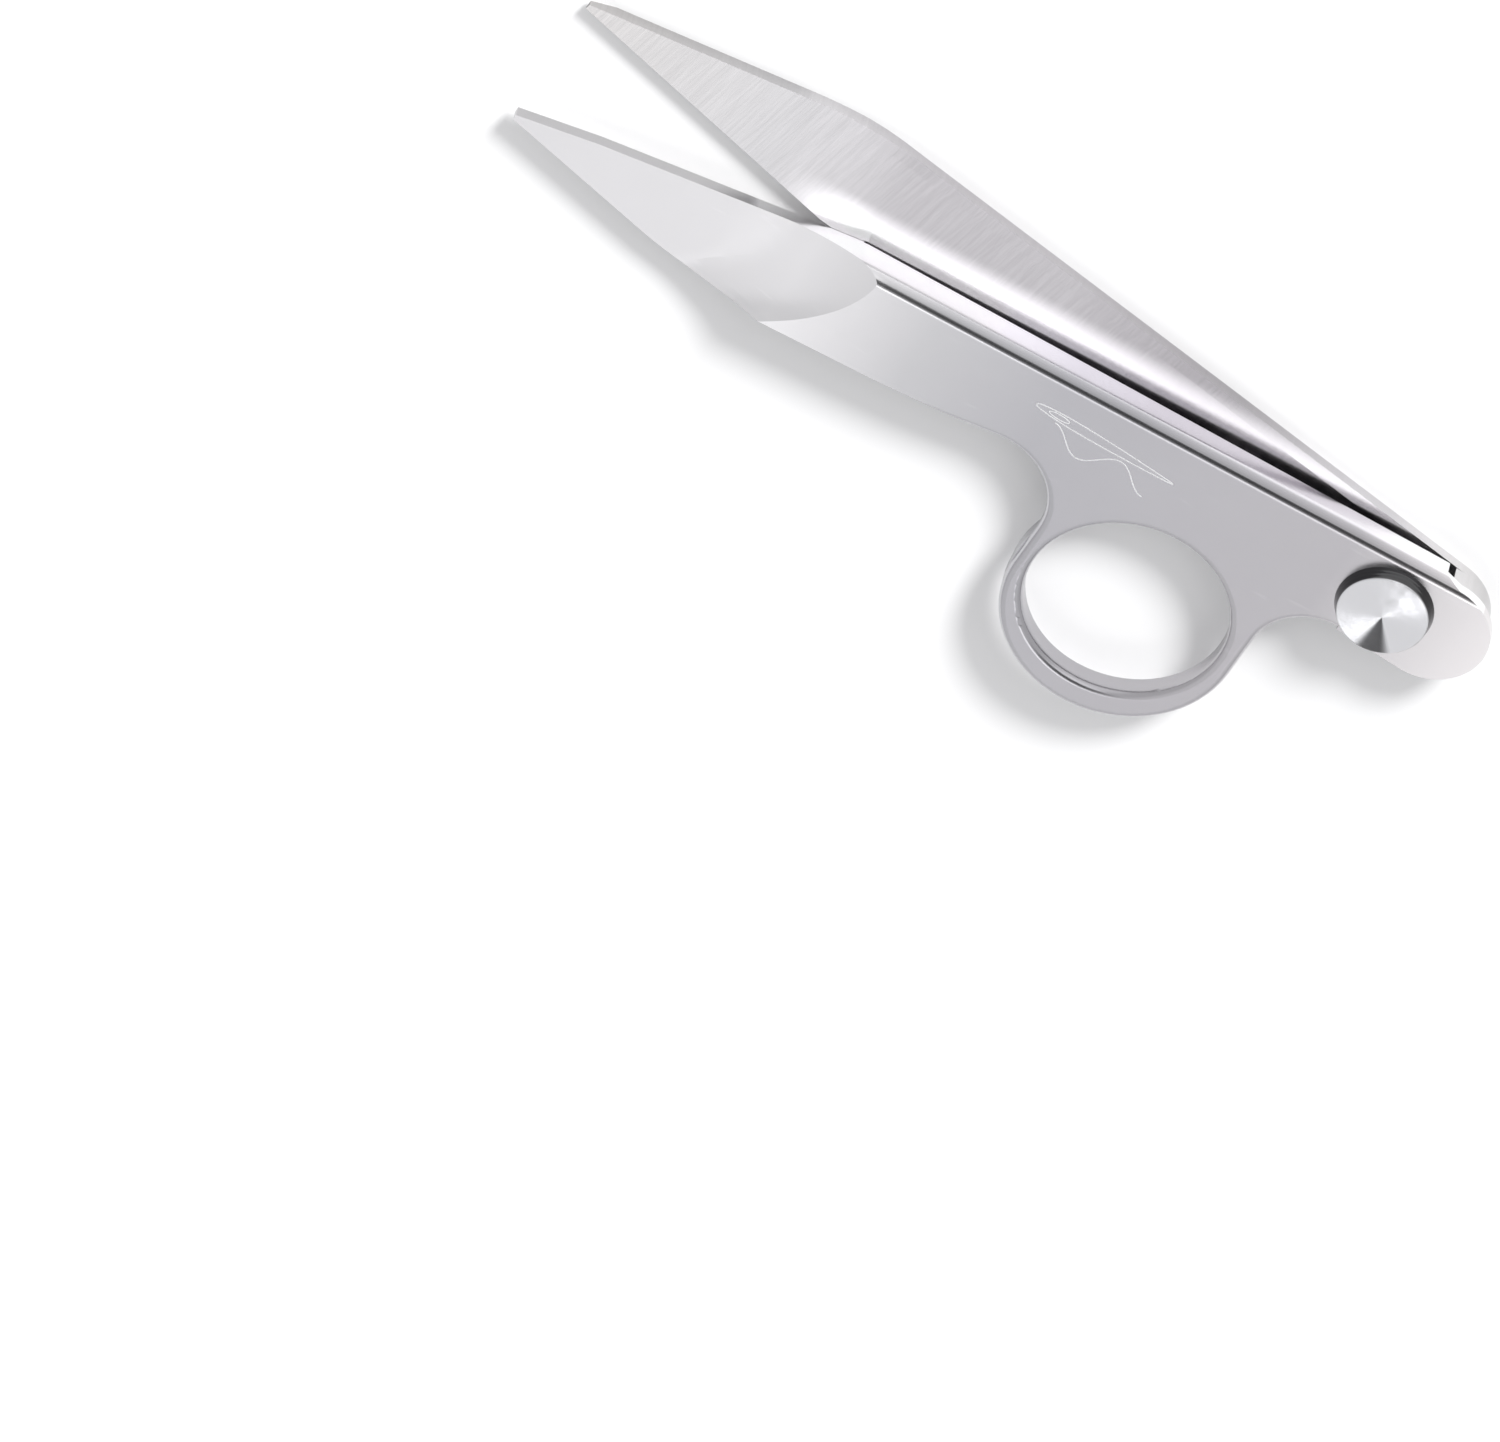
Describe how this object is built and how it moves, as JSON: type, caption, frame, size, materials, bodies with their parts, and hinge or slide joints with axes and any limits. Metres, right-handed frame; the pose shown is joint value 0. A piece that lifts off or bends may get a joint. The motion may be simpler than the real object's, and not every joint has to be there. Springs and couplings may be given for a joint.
{
  "type": "thread snips",
  "caption": "Spring-opened steel thread snips with a finger ring, made of two folded halves that turn on a rivet at the tail.",
  "frame": {"origin": "on the pivot axis, in the plane of the thumb half's flat back face that the snips lie on", "axes": "+X from the tips towards the tail, along the ring half's flange; +Z out of the ring half's face, away from the rest plane; the finger ring lies to -Y"},
  "size_m": [0.1243, 0.0539, 0.0078],
  "materials": {
    "satin_steel": "satin stainless sheet, fine grain",
    "ground_steel": "stainless sheet ground across the blade",
    "turned_steel": "turned and polished rivet head",
    "spring_wire": "drawn spring wire",
    "bush_steel": "plain turned steel",
    "washer_brass": "thin stamped brass"
  },
  "bodies": {
    "ring_side": {"ring_half": "satin_steel", "pivot_rivet": "turned_steel", "spacer_bush": "bush_steel", "friction_washer": "washer_brass", "return_spring": "spring_wire"},
    "thumb_side": {"thumb_half": "ground_steel", "burr_washer": "bush_steel"}
  },
  "joints": [
    {"name": "squeeze", "type": "hinge", "parent": "ring_side", "child": "thumb_side", "pos_m": [0, 0, 0], "axis": [0, 0, 1], "range_deg": [0, 8.8], "stiffness_Nm_per_rad": 0.08, "springref_deg": -20.05, "deforming": ["return_spring"]}
  ]
}
